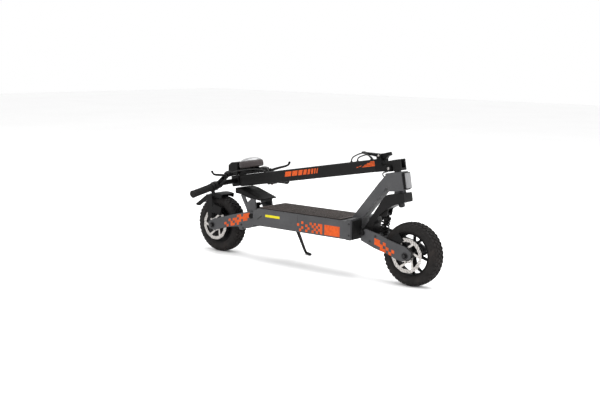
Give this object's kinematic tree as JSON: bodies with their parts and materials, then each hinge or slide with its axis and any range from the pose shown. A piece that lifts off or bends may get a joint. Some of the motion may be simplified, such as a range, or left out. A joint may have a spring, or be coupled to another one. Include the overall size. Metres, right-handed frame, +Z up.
{
  "type": "folding electric kick scooter",
  "caption": "Electric kick scooter with its stem folded back over the deck, sprung swingarms, disc brakes, fat tyres, round headlight pod and side kickstand.",
  "frame": {"origin": "bottom centre of the bounding box, on the ground under the middle of the folded scooter", "axes": "+X forward along the deck towards the front wheel, +Y to the rider's left where the kickstand is, +Z up"},
  "size_m": [1.2856, 0.6334, 0.5206],
  "materials": {
    "frame_paint": "satin grey paint",
    "black_paint": "satin black paint",
    "black_plastic": "matt moulded plastic",
    "gloss_panel": "gloss black",
    "tyre_rubber": "matt rubber",
    "grip_rubber": "matt rubber",
    "mat_rubber": "matt rubber",
    "bright_steel": "brushed",
    "dark_steel": "blackened",
    "clear_lens": "frosted",
    "red_lens": "gloss red",
    "cell_wrap": "shrink wrap"
  },
  "bodies": {
    "frame": {"deck_body": "frame_paint", "deck_mat": "mat_rubber", "battery_pack": "cell_wrap", "motor_controller": "dark_steel", "neck_frame": "frame_paint", "lower_headset_bearing": "dark_steel", "front_light_housing": "black_plastic", "front_light_lens": "clear_lens", "rear_frame": "frame_paint", "footrest": "black_paint", "tail_light": "red_lens", "kickstand_mount": "black_paint", "rear_pivot_bolt": "dark_steel", "neck_cable": "grip_rubber"},
    "fork": {"steerer": "dark_steel", "fork_arm": "black_paint", "fold_base": "black_paint", "fold_hinge_pin": "bright_steel", "front_pivot_bolt": "dark_steel"},
    "stem": {"stem_foot": "black_paint", "stem_tube": "black_paint", "handlebar": "black_paint", "bar_clamp": "black_paint", "grip_left": "grip_rubber", "grip_right": "grip_rubber", "brake_perch_left": "black_paint", "brake_perch_right": "black_paint", "throttle_housing": "black_plastic", "switch_housing": "black_plastic", "headlight_housing": "black_plastic", "headlight_lens": "clear_lens", "display": "gloss_panel", "cable_loop": "grip_rubber", "brake_cable_left": "grip_rubber", "brake_cable_right": "grip_rubber"},
    "fold_lever": {"fold_lever": "black_paint"},
    "brake_lever_left": {"brake_lever_left": "black_paint"},
    "brake_lever_right": {"brake_lever_right": "black_paint"},
    "throttle_paddle": {"throttle_paddle": "black_plastic"},
    "horn_button": {"horn_button": "red_lens"},
    "front_arm": {"front_swingarm": "frame_paint", "front_axle": "dark_steel", "front_caliper": "black_paint"},
    "front_wheel": {"front_tyre": "tyre_rubber", "front_rim": "black_paint", "front_rotor": "bright_steel"},
    "front_shock_upper": {"front_shock_upper": "dark_steel", "front_spring": "dark_steel"},
    "front_shock_lower": {"front_shock_lower": "dark_steel"},
    "rear_arm": {"rear_swingarm": "frame_paint", "rear_axle": "dark_steel", "rear_caliper": "black_paint", "rear_fender": "black_plastic"},
    "rear_wheel": {"rear_tyre": "tyre_rubber", "rear_motor": "black_paint", "rear_rotor": "bright_steel"},
    "rear_shock_upper": {"rear_shock_upper": "dark_steel", "rear_spring": "dark_steel"},
    "rear_shock_lower": {"rear_shock_lower": "dark_steel"},
    "kickstand": {"kickstand": "black_paint"}
  },
  "joints": [
    {"name": "steering", "type": "hinge", "parent": "frame", "child": "fork", "pos_m": [0.45625, 0, 0.312], "axis": [-0.1736, 0, 0.9848], "range_deg": [-40, 40], "deforming": ["neck_cable"]},
    {"name": "stem_fold", "type": "hinge", "parent": "fork", "child": "stem", "pos_m": [0.4072, 0, 0.4577], "axis": [0, 1, 0], "range_deg": [0, 90]},
    {"name": "fold_lever_swing", "type": "hinge", "parent": "stem", "child": "fold_lever", "pos_m": [0.3494, 0, 0.50335], "axis": [0, 1, 0], "range_deg": [0, 60]},
    {"name": "brake_lever_left_pull", "type": "hinge", "parent": "stem", "child": "brake_lever_left", "pos_m": [-0.35202, 0.15, 0.36952], "axis": [-0.6745, 0, 0.7382], "range_deg": [0, 20], "stiffness_Nm_per_rad": 0.6, "springref_deg": -11.46},
    {"name": "brake_lever_right_pull", "type": "hinge", "parent": "stem", "child": "brake_lever_right", "pos_m": [-0.35202, -0.15, 0.36952], "axis": [0.6745, 0, -0.7382], "range_deg": [0, 20], "stiffness_Nm_per_rad": 0.6, "springref_deg": -11.46},
    {"name": "throttle_turn", "type": "hinge", "parent": "stem", "child": "throttle_paddle", "pos_m": [-0.39112, -0.195, 0.32389], "axis": [0.0064, -0.9863, -0.1645], "range_deg": [0, 30], "stiffness_Nm_per_rad": 0.2, "springref_deg": -17.19},
    {"name": "horn_press", "type": "slide", "parent": "stem", "child": "horn_button", "axis": [-0.1736, 0, 0.9848], "range_m": [0, 0.002], "stiffness_N_per_m": 600, "springref_m": -0.002},
    {"name": "front_arm_swing", "type": "hinge", "parent": "fork", "child": "front_arm", "pos_m": [0.31325, 0, 0.194], "axis": [0, -1, 0], "range_deg": [0, 12], "stiffness_Nm_per_rad": 240, "springref_deg": -17.19, "deforming": ["front_spring"]},
    {"name": "front_wheel_spin", "type": "hinge", "parent": "front_arm", "child": "front_wheel", "pos_m": [0.51525, 0, 0.1275], "axis": [0, 1, 0], "continuous": true},
    {"name": "front_shock_top", "type": "hinge", "parent": "fork", "child": "front_shock_upper", "pos_m": [0.38925, 0, 0.272], "axis": [0, -1, 0], "range_deg": [-2.5, 0.5]},
    {"name": "front_shock_foot", "type": "hinge", "parent": "front_arm", "child": "front_shock_lower", "pos_m": [0.37625, 0, 0.188], "axis": [0, -1, 0], "range_deg": [-14.5, 0.5]},
    {"name": "rear_arm_swing", "type": "hinge", "parent": "frame", "child": "rear_arm", "pos_m": [-0.27275, 0, 0.196], "axis": [0, 1, 0], "range_deg": [0, 12], "stiffness_Nm_per_rad": 260, "springref_deg": -20.05, "deforming": ["rear_spring"]},
    {"name": "rear_wheel_spin", "type": "hinge", "parent": "rear_arm", "child": "rear_wheel", "pos_m": [-0.51175, 0, 0.1275], "axis": [0, 1, 0], "continuous": true},
    {"name": "rear_shock_top", "type": "hinge", "parent": "frame", "child": "rear_shock_upper", "pos_m": [-0.29675, 0, 0.238], "axis": [0, 1, 0], "range_deg": [-0.5, 9.5]},
    {"name": "rear_shock_foot", "type": "hinge", "parent": "rear_arm", "child": "rear_shock_lower", "pos_m": [-0.33375, 0, 0.15], "axis": [0, 1, 0], "range_deg": [-4.5, 0.5]},
    {"name": "kickstand_swing", "type": "hinge", "parent": "frame", "child": "kickstand", "pos_m": [-0.13575, 0.07, 0.148], "axis": [-0.4219, 0.8841, 0.2009], "range_deg": [0, 90]}
  ],
  "couplings": [
    {"joint": "front_shock_top", "follows": "front_arm_swing", "ratio": -0.1427},
    {"joint": "front_shock_foot", "follows": "front_arm_swing", "ratio": -1.1427},
    {"joint": "rear_shock_top", "follows": "rear_arm_swing", "ratio": 0.7102},
    {"joint": "rear_shock_foot", "follows": "rear_arm_swing", "ratio": -0.2898}
  ]
}
